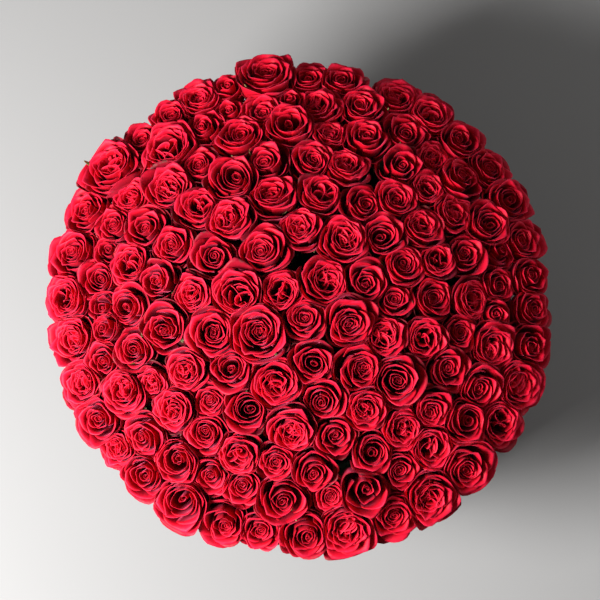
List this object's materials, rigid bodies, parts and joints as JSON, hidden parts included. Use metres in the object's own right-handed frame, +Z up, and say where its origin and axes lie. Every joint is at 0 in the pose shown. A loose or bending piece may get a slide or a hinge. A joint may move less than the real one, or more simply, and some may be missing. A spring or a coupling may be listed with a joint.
{
  "type": "flower box",
  "caption": "Round board flower box with a domed arrangement of red roses set in wet foam inside a lift-out waterproof liner.",
  "frame": {"origin": "middle of the box's flat underside, on the surface that it stands on", "axes": "+Z up through the middle of the box; +Y is the top of a picture taken from above, +X its right"},
  "size_m": [0.5073, 0.5173, 0.3331],
  "materials": {
    "black_wrap_paper": "matte",
    "lining_board": "matte",
    "black_satin": "satin",
    "brown_board": "matte",
    "liner_plastic": "satin",
    "wet_foam": "matte",
    "rose_petals": "matte"
  },
  "bodies": {
    "box": {"box_wall": "black_wrap_paper", "box_base": "lining_board", "foot_band": "black_wrap_paper", "wall_lining": "lining_board", "rim_edging": "black_wrap_paper", "ribbon_band": "black_satin", "riser_ring": "brown_board", "riser_deck": "brown_board"},
    "arrangement": {"liner": "liner_plastic", "foam_block_1a": "wet_foam", "foam_block_1b": "wet_foam", "foam_block_2a": "wet_foam", "foam_block_2b": "wet_foam", "foam_block_3a": "wet_foam", "foam_block_3b": "wet_foam", "foam_block_4a": "wet_foam", "foam_block_4b": "wet_foam", "foam_block_5a": "wet_foam", "foam_block_5b": "wet_foam", "rose_bunch_row1_01": "rose_petals", "rose_bunch_row1_02": "rose_petals", "rose_bunch_row1_03": "rose_petals", "rose_bunch_row1_04": "rose_petals", "rose_bunch_row1_05": "rose_petals", "rose_bunch_row1_06": "rose_petals", "rose_bunch_row1_07": "rose_petals", "rose_bunch_row1_08": "rose_petals", "rose_bunch_row1_09": "rose_petals", "rose_bunch_row1_10": "rose_petals", "rose_bunch_row2_01": "rose_petals", "rose_bunch_row2_02": "rose_petals", "rose_bunch_row2_03": "rose_petals", "rose_bunch_row2_04": "rose_petals", "rose_bunch_row2_05": "rose_petals", "rose_bunch_row2_06": "rose_petals", "rose_bunch_row2_07": "rose_petals", "rose_bunch_row2_08": "rose_petals", "rose_bunch_row2_09": "rose_petals", "rose_bunch_row2_10": "rose_petals", "rose_bunch_row3_01": "rose_petals", "rose_bunch_row3_02": "rose_petals", "rose_bunch_row3_03": "rose_petals", "rose_bunch_row3_04": "rose_petals", "rose_bunch_row3_05": "rose_petals", "rose_bunch_row3_06": "rose_petals", "rose_bunch_row3_07": "rose_petals", "rose_bunch_row3_08": "rose_petals", "rose_bunch_row4_01": "rose_petals", "rose_bunch_row4_02": "rose_petals", "rose_bunch_row4_03": "rose_petals", "rose_bunch_row4_04": "rose_petals", "rose_bunch_row4_05": "rose_petals", "rose_bunch_row4_06": "rose_petals", "rose_bunch_row5_01": "rose_petals", "rose_bunch_row5_02": "rose_petals", "rose_bunch_row5_03": "rose_petals", "rose_bunch_row5_04": "rose_petals", "rose_bunch_row6_01": "rose_petals", "rose_bunch_row6_02": "rose_petals", "rose_bunch_row7_01": "rose_petals"}
  },
  "joints": [
    {"name": "lift_out", "type": "slide", "parent": "box", "child": "arrangement", "axis": [0, 0, 1], "range_m": [0, 0.12]}
  ]
}
